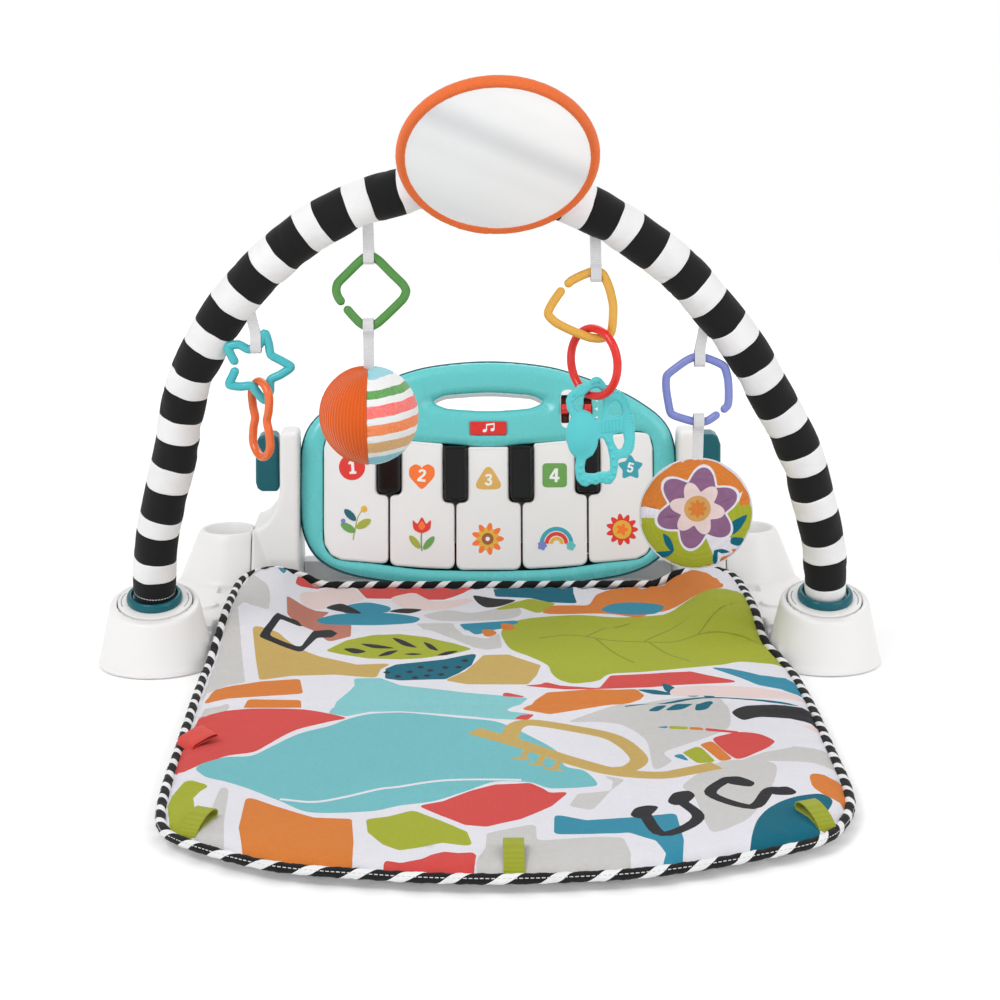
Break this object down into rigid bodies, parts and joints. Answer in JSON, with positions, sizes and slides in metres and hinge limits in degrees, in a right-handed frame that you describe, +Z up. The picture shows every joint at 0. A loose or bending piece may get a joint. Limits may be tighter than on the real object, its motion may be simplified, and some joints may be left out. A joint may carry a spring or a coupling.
{
  "type": "activity play gym",
  "caption": "Baby activity gym: padded printed floor mat, kick piano between two feet, leaning striped toy arch with soft mirror and hanging links, ring, ball, teether and disc.",
  "frame": {"origin": "on the floor, midway between the two arch feet, on the mat's underside", "axes": "+X to the right as the child lies, +Y from the child's head end to the piano, +Z up"},
  "size_m": [0.71, 0.852, 0.532],
  "materials": {
    "white_shell": "satin moulded",
    "teal_shell": "satin moulded",
    "dark_teal_shell": "glossy moulded",
    "black_gloss": "glossy moulded",
    "print_fabric": "printed woven polyester over wadding",
    "stripe_fabric": "black and white striped woven",
    "lime_webbing": "folded twill tape",
    "red_tag": "folded satin tape",
    "red_plastic": "glossy moulded",
    "orange_plastic": "glossy moulded",
    "green_plastic": "satin moulded",
    "mustard_plastic": "satin moulded",
    "periwinkle_plastic": "satin moulded",
    "aqua_plastic": "satin moulded",
    "orange_fabric": "ribbed and printed fabric",
    "white_webbing": "woven webbing",
    "mirror_film": "soft reflective film",
    "steel": "bright wire",
    "tube": "drawn tube",
    "board": "solder mask",
    "cell": "sleeved cell",
    "speaker_cone": "pressed cone"
  },
  "bodies": {
    "base": {"base_frame_left": "white_shell", "base_frame_right": "white_shell", "socket_insert_left": "white_shell", "socket_insert_right": "white_shell", "piano_upright_left": "white_shell", "piano_upright_right": "white_shell", "base_crossbar": "white_shell", "mat_pad": "print_fabric", "mat_binding": "stripe_fabric", "mat_loop_left": "lime_webbing", "mat_loop_centre": "lime_webbing", "mat_loop_right": "lime_webbing", "mat_side_tag": "red_tag"},
    "latch_left": {"piano_latch_left": "dark_teal_shell"},
    "latch_right": {"piano_latch_right": "dark_teal_shell"},
    "piano": {"piano_front_shell": "teal_shell", "piano_back_shell": "dark_teal_shell", "key_bed": "white_shell", "key_hinge_rod": "steel", "black_key_1": "black_gloss", "black_key_2": "black_gloss", "black_key_3": "black_gloss", "black_key_4": "black_gloss", "label_plaque": "red_plastic", "circuit_board": "board", "speaker": "speaker_cone", "battery_1": "cell", "battery_2": "cell", "battery_3": "cell", "battery_door": "dark_teal_shell"},
    "key_1": {"white_key_1": "white_shell"},
    "key_2": {"white_key_2": "white_shell"},
    "key_3": {"white_key_3": "white_shell"},
    "key_4": {"white_key_4": "white_shell"},
    "key_5": {"white_key_5": "white_shell"},
    "mode_switch": {"mode_slider": "red_plastic"},
    "volume_switch": {"volume_slider": "red_plastic"},
    "arch": {"arch_tube_left": "tube", "arch_tube_right": "tube", "arch_connector": "white_shell", "arch_sleeve": "stripe_fabric", "arch_plug_left": "dark_teal_shell", "arch_plug_right": "dark_teal_shell"},
    "mirror": {"mirror_pad": "white_webbing", "mirror_film": "mirror_film", "mirror_binding": "orange_fabric", "mirror_strap": "white_webbing"},
    "star_hanger": {"hanger_strap_star": "white_webbing", "star_link": "aqua_plastic"},
    "peanut": {"peanut_ring": "orange_plastic"},
    "diamond_hanger": {"hanger_strap_diamond": "white_webbing", "diamond_link": "green_plastic"},
    "ball": {"soft_ball": "orange_fabric"},
    "triangle_hanger": {"hanger_strap_triangle": "white_webbing", "triangle_link": "mustard_plastic"},
    "ring": {"round_ring": "red_plastic"},
    "teether_toy": {"teether": "aqua_plastic"},
    "hexagon_hanger": {"hanger_strap_hexagon": "white_webbing", "hexagon_link": "periwinkle_plastic"},
    "disc": {"soft_disc": "orange_fabric"}
  },
  "joints": [
    {"name": "latch_left_release", "type": "hinge", "parent": "base", "child": "latch_left", "pos_m": [-0.2135, 0.254, 0.1055], "axis": [0, 1, 0], "range_deg": [-15, 0]},
    {"name": "latch_right_release", "type": "hinge", "parent": "base", "child": "latch_right", "pos_m": [0.2135, 0.254, 0.1055], "axis": [0, 1, 0], "range_deg": [0, 15]},
    {"name": "piano_lift_off", "type": "slide", "parent": "base", "child": "piano", "axis": [0, 0.2924, 0.9563], "range_m": [0, 0.17]},
    {"name": "key_1_press", "type": "hinge", "parent": "piano", "child": "key_1", "pos_m": [0, 0.26945, 0.15085], "axis": [1, 0, 0], "range_deg": [0, 3], "stiffness_Nm_per_rad": 0.3},
    {"name": "key_2_press", "type": "hinge", "parent": "piano", "child": "key_2", "pos_m": [0, 0.26945, 0.15085], "axis": [1, 0, 0], "range_deg": [0, 3], "stiffness_Nm_per_rad": 0.3},
    {"name": "key_3_press", "type": "hinge", "parent": "piano", "child": "key_3", "pos_m": [0, 0.26945, 0.15085], "axis": [1, 0, 0], "range_deg": [0, 3], "stiffness_Nm_per_rad": 0.3},
    {"name": "key_4_press", "type": "hinge", "parent": "piano", "child": "key_4", "pos_m": [0, 0.26945, 0.15085], "axis": [1, 0, 0], "range_deg": [0, 3], "stiffness_Nm_per_rad": 0.3},
    {"name": "key_5_press", "type": "hinge", "parent": "piano", "child": "key_5", "pos_m": [0, 0.26945, 0.15085], "axis": [1, 0, 0], "range_deg": [0, 3], "stiffness_Nm_per_rad": 0.3},
    {"name": "mode_select", "type": "slide", "parent": "piano", "child": "mode_switch", "axis": [0, 0.2924, 0.9563], "range_m": [-0.008, 0.008]},
    {"name": "volume_select", "type": "slide", "parent": "piano", "child": "volume_switch", "axis": [0, 0.2924, 0.9563], "range_m": [-0.006, 0.006]},
    {"name": "arch_pull_out", "type": "slide", "parent": "base", "child": "arch", "axis": [0, -0.2487, 0.9686], "range_m": [0, 0.045]},
    {"name": "mirror_tilt", "type": "hinge", "parent": "arch", "child": "mirror", "pos_m": [-0.016, -0.0989, 0.443], "axis": [1, 0, 0], "range_deg": [-12, 1]},
    {"name": "star_swing", "type": "hinge", "parent": "arch", "child": "star_hanger", "pos_m": [-0.2015, -0.078, 0.33057], "axis": [1, 0, 0], "range_deg": [-30, 2]},
    {"name": "peanut_swing", "type": "hinge", "parent": "star_hanger", "child": "peanut", "pos_m": [-0.1956, -0.078, 0.265], "axis": [1, 0, 0], "range_deg": [-13, 15]},
    {"name": "diamond_swing", "type": "hinge", "parent": "arch", "child": "diamond_hanger", "pos_m": [-0.1016, -0.092, 0.4054], "axis": [1, 0, 0], "range_deg": [-30, 30]},
    {"name": "ball_swing", "type": "hinge", "parent": "diamond_hanger", "child": "ball", "pos_m": [-0.1026, -0.092, 0.3216], "axis": [1, 0, 0], "range_deg": [-25, 25]},
    {"name": "triangle_swing", "type": "hinge", "parent": "arch", "child": "triangle_hanger", "pos_m": [0.0864, -0.092, 0.39526], "axis": [1, 0, 0], "range_deg": [-30, 30]},
    {"name": "ring_swing", "type": "hinge", "parent": "triangle_hanger", "child": "ring", "pos_m": [0.0865, -0.092, 0.3114], "axis": [1, 0, 0], "range_deg": [-20, 20]},
    {"name": "teether_swing", "type": "hinge", "parent": "ring", "child": "teether_toy", "pos_m": [0.0865, -0.092, 0.2624], "axis": [1, 0, 0], "range_deg": [0, 13]},
    {"name": "hexagon_swing", "type": "hinge", "parent": "arch", "child": "hexagon_hanger", "pos_m": [0.1796, -0.072, 0.31595], "axis": [1, 0, 0], "range_deg": [-30, 12]},
    {"name": "disc_swing", "type": "hinge", "parent": "hexagon_hanger", "child": "disc", "pos_m": [0.1776, -0.072, 0.236], "axis": [1, 0, 0], "range_deg": [-25, 25]}
  ]
}
